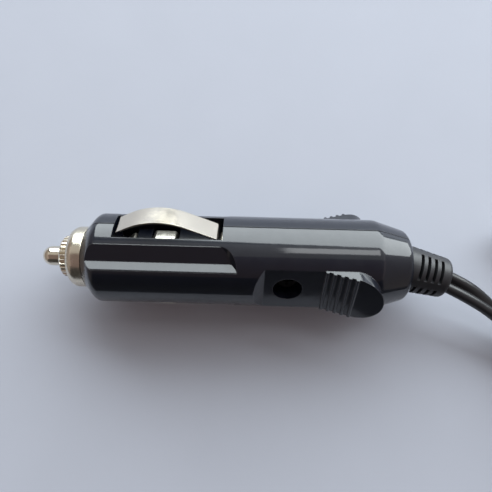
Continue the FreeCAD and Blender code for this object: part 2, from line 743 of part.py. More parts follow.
def assembly_screw():
    """Pan head screw with a cross recess, driven from the near side."""
    seat = -SCREW_SEAT
    top = seat - SCREW_HEAD_HEIGHT
    inwards = Vector(0, 1, 0)
    head = Part.makeCylinder(SCREW_HEAD_R, SCREW_HEAD_HEIGHT, Vector(SCREW_X, top, 0), inwards)
    rim = [edge for edge in head.Edges if abs(edge.BoundBox.YMax - top) < 1e-4]
    head = head.makeFillet(SCREW_HEAD_ROUND, rim)
    shank_length = SCREW_LENGTH - SCREW_TIP_LENGTH
    shank = Part.makeCylinder(SCREW_SHANK_R, shank_length, Vector(SCREW_X, seat, 0), inwards)
    tip_start = Vector(SCREW_X, seat + shank_length, 0)
    tip = Part.makeCone(SCREW_SHANK_R, SCREW_TIP_R, SCREW_TIP_LENGTH, tip_start, inwards)
    half_length = SCREW_CROSS_LENGTH / 2
    half_width = SCREW_CROSS_WIDTH / 2
    depth = (top - OVERRUN, top + SCREW_CROSS_DEPTH)
    cross = [
        box((SCREW_X - half_length, SCREW_X + half_length), depth, (-half_width, half_width)),
        box((SCREW_X - half_width, SCREW_X + half_width), depth, (-half_length, half_length)),
    ]
    return head.fuse([shank, tip]).cut(cross).removeSplitter()


# Wires and lead

def smooth_path(points):
    """Straight runs joined by tangent arcs as large as the runs allow. Returns the wire and the radii."""
    points = [Vector(*point) for point in points]
    edges = []
    radii = []
    last = points[0]
    for i in range(1, len(points) - 1):
        here = points[i]
        back = points[i - 1] - here
        ahead = points[i + 1] - here
        reach = BEND_SHARE * min(back.Length, ahead.Length)
        back = back.normalize()
        ahead = ahead.normalize()
        half_angle = back.getAngle(ahead) / 2
        radius = reach * math.tan(half_angle)
        radii.append(round(radius, 1))
        start = here + back * reach
        end = here + ahead * reach
        middle = here + (back + ahead).normalize() * (radius / math.sin(half_angle) - radius)
        edges.append(Part.LineSegment(last, start).toShape())
        edges.append(Part.Arc(start, middle, end).toShape())
        last = end
    edges.append(Part.LineSegment(last, points[-1]).toShape())
    return Part.Wire(edges), radii


def round_tube(points, radius):
    """Round solid along a smooth path."""
    path, radii = smooth_path(points)
    direction = (Vector(*points[1]) - Vector(*points[0])).normalize()
    section = Part.Wire(Part.makeCircle(radius, Vector(*points[0]), direction))
    solid = path.makePipeShell([section], True, True)
    return solid, radii, path.Length


def wire_paths():
    """Middles of the two insulated wires, around the screw bosses to the strain relief."""
    around = boss_r + WIRE_R + WIRE_CLEARANCE
    knee_x = ROOM_FRONT_X + WIRE_KNEE_LENGTH
    leave_x = SCREW_X - boss_r + WIRE_R
    join_x = SCREW_X + boss_r
    bend_x = relief_flange_x - WIRE_END_LENGTH
    negative_start_h = (strap_heel_h + STRAP_HOLE_R) / 2
    tail_h = CONTACT_THICKNESS / 2 - CONTACT_HALF_HEIGHT + WIRE_R + METAL_FIT
    positive = [
        (POSITIVE_WIRE_START_X, 0, tail_h),
        (knee_x, 0, tail_h),
        (leave_x, 0, -around),
        (join_x, 0, -around),
        (bend_x, 0, -WIRE_ENTRY_H),
        (relief_flange_x, 0, -WIRE_ENTRY_H),
    ]
    negative = [
        (STRAP_BASE_X + STRAP_THICKNESS / 2, 0, negative_start_h),
        (knee_x, 0, negative_start_h),
        (leave_x, 0, around),
        (join_x, 0, around),
        (bend_x, 0, WIRE_ENTRY_H),
        (relief_flange_x, 0, WIRE_ENTRY_H),
    ]
    return positive, negative


def strain_relief():
    """Flange and stem in the shells, and the slotted outside that is bent sideways."""
    flange = cylinder(RELIEF_FLANGE_R, relief_flange_x, room_rear_x)
    stem = cylinder(RELIEF_STEM_R, room_rear_x - OVERLAP, REAR_FACE_X + OVERLAP)
    base_at = REAR_FACE_X - RELIEF_PIVOT_X
    hidden_at = base_at - RELIEF_BASE_R * math.tan(math.radians(RELIEF_BEND)) - OVERRUN
    outside = turned([
        (hidden_at, 0, 0),
        (hidden_at, RELIEF_BASE_R, 0),
        (base_at + RELIEF_BASE_LENGTH, RELIEF_BASE_R, 0),
        (RELIEF_LENGTH, RELIEF_TIP_R, RELIEF_TIP_ROUND),
        (RELIEF_LENGTH, 0, 0),
    ])
    core = cylinder(RELIEF_CORE_R, 0, RELIEF_LENGTH)
    spine_y = (-RELIEF_SPINE_HALF_WIDTH, RELIEF_SPINE_HALF_WIDTH)
    spines = box((0, RELIEF_LENGTH), spine_y, (-FAR, FAR))
    spines = spines.fuse(box((0, RELIEF_LENGTH), (-FAR, FAR), spine_y))
    slots = []
    for i in range(RELIEF_SLOTS):
        at = RELIEF_SLOT_FIRST + i * RELIEF_SLOT_PITCH
        half_width = RELIEF_SLOT_WIDTH / 2
        ring = cylinder(RELIEF_BASE_R + OVERRUN, at - half_width, at + half_width)
        slots.append(ring.cut([core, spines]))
    outside = outside.cut(slots)
    outside.rotate(ORIGIN, AXIS, -ROLL - RELIEF_ROLL)
    outside.rotate(ORIGIN, UP, -RELIEF_BEND)
    outside.translate(Vector(RELIEF_PIVOT_X, 0, 0))
    outside = outside.cut(box((-FAR, REAR_FACE_X), (-FAR, FAR), (-FAR, FAR)))
    return outside.fuse([flange, stem]).removeSplitter()


def cord_coil():
    """Outer shape of the neat hank, in which the lead stands on edge, with room for its ties."""
    half_width = hank_half_width
    height = COIL_LAYERS * (LEAD_WIDTH + COIL_SPACING) + 2 * COIL_TIE
    section = Part.Face(rounded_outline([
        (COIL_MEAN_R - half_width, floor_z, COIL_EDGE_ROUND),
        (COIL_MEAN_R + half_width, floor_z, COIL_EDGE_ROUND),
        (COIL_MEAN_R + half_width, floor_z + height, COIL_EDGE_ROUND),
        (COIL_MEAN_R - half_width, floor_z + height, COIL_EDGE_ROUND),
    ]))
    section.rotate(ORIGIN, UP, -90)
    run = section.extrude(Vector(COIL_RUN, 0, 0))
    section.translate(Vector(COIL_RUN, 0, 0))
    bend = section.revolve(Vector(COIL_RUN, 0, 0), UP, 180)
    half = run.fuse(bend)
    other = half.copy()
    other.rotate(Vector(COIL_RUN / 2, 0, 0), UP, 180)
    hank = half.fuse(other).removeSplitter()
    hank.translate(Vector(COIL_CENTRE[0], COIL_CENTRE[1], 0))
    return hank


def tail_route():
    """Middle of the lead from the hank's upper outer turn down to the DC plug, which lies beside the hank."""
    turn_y = COIL_CENTRE[1] + COIL_MEAN_R + (COIL_COLUMNS - 1) / 2 * (LEAD_THICKNESS + COIL_SPACING)
    turn_z = floor_z + COIL_TIE + (COIL_LAYERS - 0.5) * (LEAD_WIDTH + COIL_SPACING)
    plug_y = COIL_CENTRE[1] + COIL_MEAN_R + hank_half_width + DC_GAP + DC_BODY_R
    plug_z = floor_z + DC_BODY_R
    route = []
    for i, share in enumerate(TAIL_SHARES):
        x = COIL_CENTRE[0] + COIL_RUN - i * TAIL_STEP
        route.append((x, turn_y + (plug_y - turn_y) * share, turn_z + (plug_z - turn_z) * share))
    return route


# DC plug, drawn along X from the point where the lead enters it

dc_body_rear = DC_RELIEF_LENGTH + DC_BODY_LENGTH
dc_stem_start = dc_body_rear - DC_STEM_LENGTH
dc_tip = dc_body_rear + DC_SLEEVE_REACH
dc_sleeve_inner_r = DC_SLEEVE_R - DC_SLEEVE_WALL
dc_contact_r = DC_BORE_R + DC_CONTACT_WALL


def dc_overmould():
    body = turned([
        (0, 0, 0),
        (0, DC_RELIEF_R, DC_RELIEF_ROUND),
        (DC_RELIEF_LENGTH, DC_RELIEF_R + DC_RELIEF_FLARE, 0),
        (DC_RELIEF_LENGTH, DC_BODY_R, DC_BODY_ROUND),
        (dc_body_rear, DC_BODY_R, DC_BODY_FRONT_ROUND),
        (dc_body_rear, 0, 0),
    ])
    rings = []
    for i in range(DC_GRIP_RINGS):
        at = DC_RELIEF_LENGTH + DC_GRIP_START + i * DC_GRIP_PITCH
        rings.append(tube(DC_BODY_R + OVERRUN, DC_BODY_R - DC_GRIP_DEPTH, at, at + DC_GRIP_PITCH / 2))
    return body.cut(rings + [cylinder(DC_STEM_R + METAL_FIT, dc_stem_start, dc_body_rear + OVERRUN)])


def dc_barrel_sleeve():
    """Sleeve on a thinner stem that is moulded into the body."""
    sleeve = cylinder(DC_SLEEVE_R, dc_body_rear, dc_tip)
    stem = cylinder(DC_STEM_R, dc_stem_start, dc_body_rear)
    return sleeve.fuse(stem).cut(cylinder(dc_sleeve_inner_r, dc_stem_start - OVERRUN, dc_tip + OVERRUN))


def dc_insulator():
    outer_r = dc_sleeve_inner_r - METAL_FIT
    return tube(outer_r, dc_contact_r + METAL_FIT, dc_stem_start, dc_tip - DC_INSULATOR_RECESS)


def dc_centre_contact():
    return tube(dc_contact_r, DC_BORE_R, dc_stem_start, dc_tip - DC_CONTACT_RECESS)


def at_lead_end(shape):
    """Puts a piece of the DC plug where the lead's tail ends."""
    route = tail_route()
    last = Vector(*route[-1])
    direction = (last - Vector(*route[-2])).normalize()
    shape = shape.copy()
    turn = Rotation(AXIS, direction)
    shape.rotate(ORIGIN, turn.Axis, math.degrees(turn.Angle))
    shape.translate(last)
    return shape


def main():
    near, far = shells()
    leaf = folded_strip(leaf_path(), LEAF_THICKNESS, LEAF_WIDTH)
    positive_path, negative_path = wire_paths()
    positive, positive_radii, positive_length = round_tube(positive_path, WIRE_R)
    negative, negative_radii, negative_length = round_tube(negative_path, WIRE_R)
    glass_r = FUSE_CAP_R - FUSE_CAP_WALL - METAL_FIT
    glass_front = fuse_front_x + FUSE_CAP_END
    glass_rear = fuse_rear_x - FUSE_CAP_END
    plug_pieces = {
        "shell_near": near,
        "shell_far": far,
        "nose_cap": nose_cap(),
        "contact_pin": contact_pin(),
        "pin_spring": pin_spring(),
        "fuse_cap_front": fuse_cap(fuse_front_x, True),
        "fuse_cap_rear": fuse_cap(fuse_rear_x - FUSE_CAP_LENGTH, False),
        "fuse_glass": tube(glass_r, glass_r - FUSE_GLASS_WALL, glass_front, glass_rear),
        "fuse_wire": cylinder(FUSE_WIRE_R, glass_front, glass_rear),
        "rear_contact": rear_contact(),
        "ground_strap": ground_strap(),
        "leaf_spring_top": leaf,
        "leaf_spring_bottom": half_turned(leaf),
        "assembly_screw": assembly_screw(),
        "positive_wire": positive,
        "negative_wire": negative,
    }
    lead, lead_radii, lead_length = round_tube(LEAD_ROUTE, LEAD_WIDTH / 2)
    tail, tail_radii, tail_length = round_tube(tail_route(), LEAD_WIDTH / 2)
    dc_pieces = {
        "dc_overmould": dc_overmould(),
        "dc_barrel_sleeve": dc_barrel_sleeve(),
        "dc_insulator": dc_insulator(),
        "dc_centre_contact": dc_centre_contact(),
    }
    pieces = {name: rolled(shape) for name, shape in plug_pieces.items()}
    pieces["strain_relief"] = strain_relief()
    pieces["cord_lead"] = lead
    pieces["cord_coil"] = cord_coil()
    pieces["cord_tail"] = tail
    for name, shape in dc_pieces.items():
        pieces[name] = at_lead_end(shape)
    os.makedirs("parts", exist_ok=True)
    for name, shape in pieces.items():
        shape.exportStep("parts/" + name + ".step")
        print(name, len(shape.Solids), shape.isValid(), round(shape.Volume, 2))
    print("floor", round(floor_z, 3))
    print("lead radii", lead_radii, "length", round(lead_length, 1))
    print("tail radii", tail_radii, "length", round(tail_length, 1))
    print("tail route", [tuple(round(c, 3) for c in point) for point in tail_route()])
    print("wire radii", positive_radii, negative_radii)
    print("wire lengths", round(positive_length, 1), round(negative_length, 1))


main()
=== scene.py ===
"""Looks of the cigarette lighter plug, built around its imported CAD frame. Lengths are in metres."""

import math

import bpy
from bpy.props import FloatProperty, FloatVectorProperty, PointerProperty
from mathutils import Matrix, Vector


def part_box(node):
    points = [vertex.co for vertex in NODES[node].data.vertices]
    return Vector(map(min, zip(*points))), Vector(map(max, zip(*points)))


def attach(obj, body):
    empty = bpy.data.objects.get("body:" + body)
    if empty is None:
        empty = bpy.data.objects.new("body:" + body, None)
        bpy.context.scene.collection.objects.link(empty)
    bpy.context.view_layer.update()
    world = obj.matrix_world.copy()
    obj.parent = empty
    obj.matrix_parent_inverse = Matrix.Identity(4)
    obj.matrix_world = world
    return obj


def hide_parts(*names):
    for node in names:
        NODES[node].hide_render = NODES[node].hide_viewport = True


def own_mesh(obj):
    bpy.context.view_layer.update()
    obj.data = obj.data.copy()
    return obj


bl_info = {
    "name": "Cigarette lighter plug",
    "version": (1, 0, 0),
    "blender": (4, 5, 0),
    "location": "3D View > Sidebar > Lighter plug",
    "description": "Finishes of a sprung 12 V plug, its twin lead and its small DC plug",
    "category": "Object",
}

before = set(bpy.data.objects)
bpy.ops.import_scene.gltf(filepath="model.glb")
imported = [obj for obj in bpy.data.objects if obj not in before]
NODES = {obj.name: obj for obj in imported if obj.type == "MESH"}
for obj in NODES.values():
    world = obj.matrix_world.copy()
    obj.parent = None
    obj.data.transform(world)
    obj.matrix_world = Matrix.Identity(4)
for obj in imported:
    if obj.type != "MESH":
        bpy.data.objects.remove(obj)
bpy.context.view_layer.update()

MM = 0.001

# Attitude of the plug: it lies rolled about its axis, which is X
ROLL = math.radians(40.7)
LEAF_WAY = Vector((0, math.sin(ROLL), math.cos(ROLL)))
NEAR_WAY = Vector((0, -math.cos(ROLL), math.sin(ROLL)))
FLOOR_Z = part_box("cord_coil")[0].z

# Route of the lead, in millimetres, as its solids have it
LEAD_ROUTE = [
    (45.0, -2.7, 0.2),
    (51.3, -5.2, -0.3),
    (60.3, -10.5, -3.6),
    (70.3, -19.5, -8.2),
]
TAIL_ROUTE = [
    (128.1, 3.172, -3.501),
    (122.5, 4.736, -4.329),
    (116.9, 7.252, -5.661),
    (111.3, 9.224, -6.705),
    (105.7, 9.7, -6.957),
    (100.1, 9.7, -6.957),
]

# The hank: centre of its left bends, length of its runs, radii of its laps and levels of its two layers
HANK_CENTRE = (95.7, -18.1)
HANK_RUN = 38.0
HANK_RADII = (21.0, 18.3, 15.6)
HANK_LEVELS = (-8.66, -3.36)
# Eight points to a bend and two to a run; the lead joins at the sixth point of the bend nearer the plug
BEND_ANGLES = [101.25 + 22.5 * i for i in range(8)]
BEND_SHRINK = math.cos(math.radians(11.25))
RUN_SHARES = (0.25, 0.75)
JOIN_AT = 5
JOG_OUT = 4
CLIMB_START = 8
CLIMB_STEPS = 5
LEAVE_AT = 13
JOG_IN = 14

# Where the lead turns from flat to upright after the relief, and back before its DC plug
TWIST_START = 1 * MM
TWIST_LENGTH = 31 * MM
UNTWIST_START = 32 * MM
UNTWIST_LENGTH = 26 * MM
TWIN_SWEEP = math.radians(155)

# Ties half way along the hank's runs: the radius and level of each strand there
TIE_WIDTH = 2.0
TIE_THICKNESS = 0.28
TIE_ROOM = 0.12
TIES = {
    "hank_tie_near": (-1, ((21.0, -8.66), (18.3, -8.66), (15.6, -8.66), (19.65, -3.36), (16.95, -3.36))),
    "hank_tie_far": (1, ((19.65, -8.66), (16.95, -8.66), (18.3, -3.36), (15.6, -3.36))),
}

# Section of the shallow floor that lies in each groove: reaches towards a leaf spring and a half shell
GROOVE_SECTION = [(5.0, 9.06), (5.62, 6.9), (9.05, 5.015), (4.9, 5.9)]
GROOVE_ENDS = (-36.5, -1.6)
PLANE_CORNERS = (0, 1, 3, 2)
# The first floor lies by the upper leaf spring on the near shell, and the others are turned from it
GROOVE_SIDES = ((1, 1), (-1, 1), (-1, -1), (1, -1))

# Round outside that the groove floors are trimmed to, a hair inside the shells'
BARREL_R = 10.345
NOSE_FACE_X = -36.1
NOSE_FACE_R = 7.1
NOSE_CONE_END_X = -33.2
NOSE_CONE_ROUND = 1.11

# Cosine of the angle between the softened and the true normal, where an edge gets its full painted highlight
# and where it gets none
EDGE_HIGHLIGHT_COSINES = (0.86, 0.985)
SHARP_ANGLE = math.radians(40)

# The sheet's size; the line in front of the plug past which the paper is painted dark in reflections only,
# the width of that line's blur, and the colour of this painted reflection
SHEET_SIZE = 6.0
DARK_REFLECTION_FROM_Y = -107 * MM
DARK_REFLECTION_BLUR = 3 * MM
DARK_REFLECTION_COLOUR = (0.02, 0.02, 0.024)
ROOM_COLOUR = (1.0, 0.97, 0.98)

# Soft lights: place, point they face, width and height, colour, and the setting that holds their power
LIGHTS = {
    "window": ((0.234, 0.765, 0.49), (0, 0, 0.49), (2.1, 0.89), (0.9, 0.975, 1.0), "window_power"),
    "strip_lamp": ((0.24, 0.42, 0.9), (0.24, 0.42, 0), (0.28, 0.24), (0.95, 0.98, 1.0), "lamp_power"),
    "ceiling": ((0, 0.4, 0.91), (0, 0.4, 0), (2.0, 0.6), (1.0, 0.95, 0.9), "ceiling_power"),
    "room": ((0, -0.45, 0.95), (0, -0.45, 0), (2.4, 1.1), (1.0, 0.7, 0.66), "room_power"),
    "left_wall": ((-1.2, 0, 0.7), (0, 0, 0.7), (2.4, 1.4), (1.0, 0.86, 0.8), "wall_power"),
    "right_wall": ((1.2, 0, 0.7), (0, 0, 0.7), (2.4, 1.4), (1.0, 0.86, 0.8), "wall_power"),
}

CAMERA_PLACE = Vector((0, -7.6, 100.4)) * MM
CAMERA_TARGET = Vector((0, 3.5, 0)) * MM
CAMERA_TILT = math.radians(1.57)
SENSOR_WIDTH = 36.0


# Sizes and colours that a user would change

class LeadSettings(bpy.types.PropertyGroup):
    conductor_r: FloatProperty(
        name="Conductor radius", description="Outside radius of each half of the twin lead",
        default=1.3 * MM, unit="LENGTH")
    groove_half: FloatProperty(
        name="Groove height", description="Half the lead's thickness at the groove between its halves",
        default=0.45 * MM, unit="LENGTH")
    length: FloatProperty(
        name="Length", description="Length of the lead from the strain relief to the DC plug",
        default=0.95, unit="LENGTH")
    colour: FloatVectorProperty(
        name="Lead colour", description="Colour of the lead's jacket",
        default=(0.012, 0.012, 0.014), size=3, min=0, max=1, subtype="COLOR")


class ShellSettings(bpy.types.PropertyGroup):
    colour: FloatVectorProperty(
        name="Shell colour", description="Colour of the moulded half shells",
        default=(0.002, 0.0035, 0.009), size=3, min=0, max=1, subtype="COLOR")
    roughness: FloatProperty(
        name="Shell roughness", description="Roughness of the moulded half shells",
        default=0.42, min=0, max=1, subtype="FACTOR")
    gloss: FloatProperty(
        name="Shell gloss", description="Weight of the sharp reflection on the moulded surface",
        default=1.0, min=0, max=1, subtype="FACTOR")


class MetalSettings(bpy.types.PropertyGroup):
    leaf_colour: FloatVectorProperty(
        name="Leaf colour", description="Colour of the plated leaf springs",
        default=(0.86, 0.78, 0.65), size=3, min=0, max=1, subtype="COLOR")
    cap_colour: FloatVectorProperty(
        name="Cap colour", description="Colour of the plated nose cap",
        default=(0.78, 0.71, 0.58), size=3, min=0, max=1, subtype="COLOR")
    leaf_roughness: FloatProperty(
        name="Leaf roughness", description="Roughness of the leaf springs",
        default=0.14, min=0, max=1, subtype="FACTOR")


class StageSettings(bpy.types.PropertyGroup):
    paper: FloatVectorProperty(
        name="Paper colour", description="Colour of the sheet that the plug lies on",
        default=(0.455, 0.475, 0.545), size=3, min=0, max=1, subtype="COLOR")
    window_power: FloatProperty(
        name="Window light", description="Power of the soft window light behind the plug, in watts",
        default=37.5, min=0)
    lamp_power: FloatProperty(
        name="Strip lamp", description="Power of the strip lamp above the plug, in watts",
        default=0.9, min=0)
    ceiling_power: FloatProperty(
        name="Ceiling", description="Power of the light that comes off the ceiling by the window, in watts",
        default=1.7, min=0)
    room_power: FloatProperty(
        name="Dim room", description="Power of the dim warm light from above the camera, in watts",
        default=1.3, min=0)
    wall_power: FloatProperty(
        name="Walls", description="Power of the warm light that comes off each side wall, in watts",
        default=2.7, min=0)
    ambient: FloatProperty(
        name="Room light", description="Strength of the light from all round",
        default=0.05, min=0)
    lens: FloatProperty(
        name="Lens", description="Focal length of the camera for a 36 mm sensor",
        default=31.46, min=1)


class PlugSettings(bpy.types.PropertyGroup):
    lead: PointerProperty(type=LeadSettings)
    shell: PointerProperty(type=ShellSettings)
    metal: PointerProperty(type=MetalSettings)
    stage: PointerProperty(type=StageSettings)


# Helpers

def select_only(piece):
    bpy.ops.object.select_all(action="DESELECT")
    piece.select_set(True)
    bpy.context.view_layer.objects.active = piece


def finish_piece(piece, name, material, body):
    """Names a piece, gives it its finish and lets it ride on its body."""
    piece.name = name
    piece.data.name = name
    piece.data.materials.clear()
    piece.data.materials.append(material)
    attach(piece, body)
    return piece


def dress(node_name, material):
    """Gives a CAD node its finish."""
    for slot in NODES[node_name].material_slots:
        slot.material = material


def new_material(name):
    """A new material, its node tree, its shader and its object coordinates."""
    material = bpy.data.materials.new(name)
    material.use_nodes = True
    tree = material.node_tree
    shader = tree.nodes["Principled BSDF"]
    coordinates = tree.nodes.new("ShaderNodeTexCoord")
    return material, tree, shader, coordinates.outputs["Object"]


def stretched(tree, vector, scale):
    """The coordinates scaled unevenly, for a grain that runs one way."""
    mapping = tree.nodes.new("ShaderNodeMapping")
    mapping.inputs["Scale"].default_value = scale
    tree.links.new(vector, mapping.inputs["Vector"])
    return mapping.outputs["Vector"]


def noise(tree, vector, scale, detail=3.0, roughness=0.5):
    """Noise between 0 and 1, mostly near the middle."""
    texture = tree.nodes.new("ShaderNodeTexNoise")
    texture.inputs["Scale"].default_value = scale
    texture.inputs["Detail"].default_value = detail
    texture.inputs["Roughness"].default_value = roughness
    tree.links.new(vector, texture.inputs["Vector"])
    return texture.outputs["Fac"]


def ranged(tree, value, low, high, from_low=0.3, from_high=0.7):
    """The value spread over another range."""
    node = tree.nodes.new("ShaderNodeMapRange")
    node.inputs["From Min"].default_value = from_low
    node.inputs["From Max"].default_value = from_high
    node.inputs["To Min"].default_value = low
    node.inputs["To Max"].default_value = high
    tree.links.new(value, node.inputs["Value"])
    return node.outputs["Result"]


def two_colours(tree, factor, first, second):
    """The first colour where the factor is 0 and the second where it is 1."""
    mix = tree.nodes.new("ShaderNodeMix")
    mix.data_type = "RGBA"
    mix.inputs["A"].default_value = (*first, 1)
    mix.inputs["B"].default_value = (*second, 1)
    tree.links.new(factor, mix.inputs["Factor"])
    return mix.outputs["Result"]


def bumped(tree, shader, height, distance, strength=1.0, before=None):
    """Gives the shader a bump, on top of the normals before it."""
    bump = tree.nodes.new("ShaderNodeBump")
    bump.inputs["Distance"].default_value = distance
    bump.inputs["Strength"].default_value = strength
    tree.links.new(height, bump.inputs["Height"])
    if before is not None:
        tree.links.new(before, bump.inputs["Normal"])
    tree.links.new(bump.outputs["Normal"], shader.inputs["Normal"])
    return bump.outputs["Normal"]


def shade(colour, factor):
    """The colour made lighter or darker."""
    return tuple(min(1.0, channel * factor) for channel in colour)


def softened(tree, radius):
    """Normals that turn round the edges, as on a piece out of a worn mould."""
    bevel = tree.nodes.new("ShaderNodeBevel")
    bevel.samples = 4
    bevel.inputs["Radius"].default_value = radius
    return bevel.outputs["Normal"]


def maths(tree, operation, first, second):
    """The two values joined by an operation."""
    node = tree.nodes.new("ShaderNodeMath")
    node.operation = operation
    tree.links.new(first, node.inputs[0])
    tree.links.new(second, node.inputs[1])
    return node.outputs["Value"]


def painted_edge_highlight(tree, edge_normal, vector):
    """Mask of the painted edge highlight: where the surface turns sharply, broken up by a fine noise."""
    geometry = tree.nodes.new("ShaderNodeNewGeometry")
    along = tree.nodes.new("ShaderNodeVectorMath")
    along.operation = "DOT_PRODUCT"
    tree.links.new(edge_normal, along.inputs[0])
    tree.links.new(geometry.outputs["Normal"], along.inputs[1])
    turned = ranged(tree, along.outputs["Value"], 1.0, 0.0, *EDGE_HIGHLIGHT_COSINES)
    patches = ranged(tree, noise(tree, vector, 1500.0, 3.0, 0.6), 0.35, 1.0)
    return maths(tree, "MULTIPLY", turned, patches)


def moulded_plastic(
        name, colour, roughness, grain=9000.0, grain_depth=1.2e-6, gloss=0.0, edge=0.2 * MM, edge_lightening=0.0):
    """Moulded plastic with a faint orange-peel and uneven gloss. Gloss lays a sharp sheen over the broad
    one, and the edges get a painted highlight, their colour lightened by the given amount."""
    material, tree, shader, at = new_material(name)
    cloud = noise(tree, at, 160.0, 4.0, 0.6)
    links = tree.links
    edge_normal = softened(tree, edge)
    tone = two_colours(tree, cloud, shade(colour, 0.8), shade(colour, 1.35))
    # Painted highlight: the colour is lightened along every edge, where rounded edges would catch light
    highlight_colour = tuple(channel + edge_lightening for channel in colour)
    edge_lit_colour = two_colours(tree, painted_edge_highlight(tree, edge_normal, at), colour, highlight_colour)
    links.new(tone, edge_lit_colour.node.inputs["A"])
    links.new(edge_lit_colour, shader.inputs["Base Color"])
    smear = noise(tree, at, 420.0, 5.0, 0.65)
    links.new(ranged(tree, smear, roughness * 0.82, roughness * 1.22), shader.inputs["Roughness"])
    fine = noise(tree, at, grain, 2.0, 0.5)
    wide = noise(tree, at, 700.0, 2.0, 0.5)
    grained = bumped(tree, shader, fine, grain_depth, before=edge_normal)
    normal = bumped(tree, shader, wide, 6e-6, before=grained)
    shader.inputs["IOR"].default_value = 1.5
    if gloss:
        shader.inputs["Specular IOR Level"].default_value = 0.17
        shader.inputs["Coat Weight"].default_value = gloss
        shader.inputs["Coat Roughness"].default_value = 0.07
        links.new(normal, shader.inputs["Coat Normal"])
    return material


def plated_metal(
        name, colour, roughness, grain_scale, grain_way=(1.0, 1.0, 1.0), depth=1.0e-6, edge=0.08 * MM):
    """Plated metal with a fine drawn grain, uneven tone and a few dull smears."""
    material, tree, shader, at = new_material(name)
    links = tree.links
    grain = noise(tree, stretched(tree, at, grain_way), grain_scale, 3.0, 0.6)
    smear = noise(tree, at, 260.0, 5.0, 0.7)
    tone = two_colours(tree, smear, shade(colour, 0.84), shade(colour, 1.06))
    links.new(tone, shader.inputs["Base Color"])
    links.new(ranged(tree, smear, roughness * 0.75, roughness * 1.3), shader.inputs["Roughness"])
    bumped(tree, shader, grain, depth, before=softened(tree, edge))
    shader.inputs["Metallic"].default_value = 1.0
    return material


def clear_glass(name):
    """Clear glass with faint smears."""
    material, tree, shader, at = new_material(name)
    smear = noise(tree, at, 500.0, 3.0, 0.5)
    tone = two_colours(tree, smear, (0.9, 0.94, 0.93), (0.97, 0.99, 0.98))
    tree.links.new(ranged(tree, smear, 0.02, 0.08), shader.inputs["Roughness"])
    tree.links.new(tone, shader.inputs["Base Color"])
    shader.inputs["Transmission Weight"].default_value = 1.0
    shader.inputs["IOR"].default_value = 1.5
    return material


# The lead

def hank_lap():
    """Places round one lap of the hank, in the lead's order: centre's x, angle of the way out, on a bend."""
    left = [(0.0, angle) for angle in BEND_ANGLES]
    right = [(HANK_RUN, angle + 180.0) for angle in BEND_ANGLES]
    lap = [(x, angle, True) for x, angle in left[JOIN_AT:]]
    lap += [(HANK_RUN * share, 270.0, False) for share in RUN_SHARES]
    lap += [(x, angle, True) for x, angle in right]
    lap += [(HANK_RUN * share, 90.0, False) for share in reversed(RUN_SHARES)]
    lap += [(x, angle, True) for x, angle in left[:JOIN_AT]]
    return lap


def hank_route():
    """Control points of the hank: inwards in three laps on the surface, then outwards on top of them."""
    outer, middle, inner = HANK_RADII
    low, high = HANK_LEVELS
    lap = hank_lap()
    steps = []
    for radius, following in ((outer, middle), (middle, inner)):
        steps += [(i, radius if i < JOG_IN else following, low) for i in range(len(lap))]
    for i in range(len(lap)):
        climbed = min(1.0, max(0.0, (i - CLIMB_START) / CLIMB_STEPS))
        steps.append((i, inner, low + (high - low) * climbed))
    steps += [(i, inner if i < JOG_OUT else middle, high) for i in range(len(lap))]
    steps += [(i, middle if i < JOG_OUT else outer, high) for i in range(LEAVE_AT)]
    points = []
    for i, radius, level in steps:
        x, angle, on_bend = lap[i]
        reach = radius / BEND_SHRINK if on_bend else radius
        way = math.radians(angle)
        points.append((
            HANK_CENTRE[0] + x + reach * math.cos(way),
            HANK_CENTRE[1] + reach * math.sin(way),
            level,
        ))
    return points


def lead_line():
    """The lead's centreline, read from one smooth spline through its route."""
    route = LEAD_ROUTE + hank_route() + TAIL_ROUTE
    curve = bpy.data.curves.new("lead_route", "CURVE")
    curve.dimensions = "3D"
    curve.resolution_u = 8
    spline = curve.splines.new("NURBS")
    spline.points.add(len(route) - 1)
    for point, place in zip(spline.points, route):
        point.co = (*(Vector(place) * MM), 1.0)
    spline.order_u = 3
    spline.use_endpoint_u = True
    carrier = bpy.data.objects.new("lead_route", curve)
    line_mesh = bpy.data.meshes.new_from_object(carrier)
    line = [vertex.co.copy() for vertex in line_mesh.vertices]
    bpy.data.meshes.remove(line_mesh)
    bpy.data.objects.remove(carrier)
    bpy.data.curves.remove(curve)
    return line


def twin_profile(radius, groove_half, steps=11):
    """Outline of the twin lead: two round halves joined by a thin web."""
    half = []
    for i in range(steps):
        angle = -TWIN_SWEEP + 2 * TWIN_SWEEP * i / (steps - 1)
        half.append((radius + radius * math.cos(angle), radius * math.sin(angle)))
    other = [(-x, -y) for x, y in half]
    return half + [(0.0, groove_half)] + other + [(0.0, -groove_half)]


def smooth_step(value):
    """From 0 to 1 with a soft start and end."""
    value = min(1.0, max(0.0, value))
    return value * value * (3 - 2 * value)


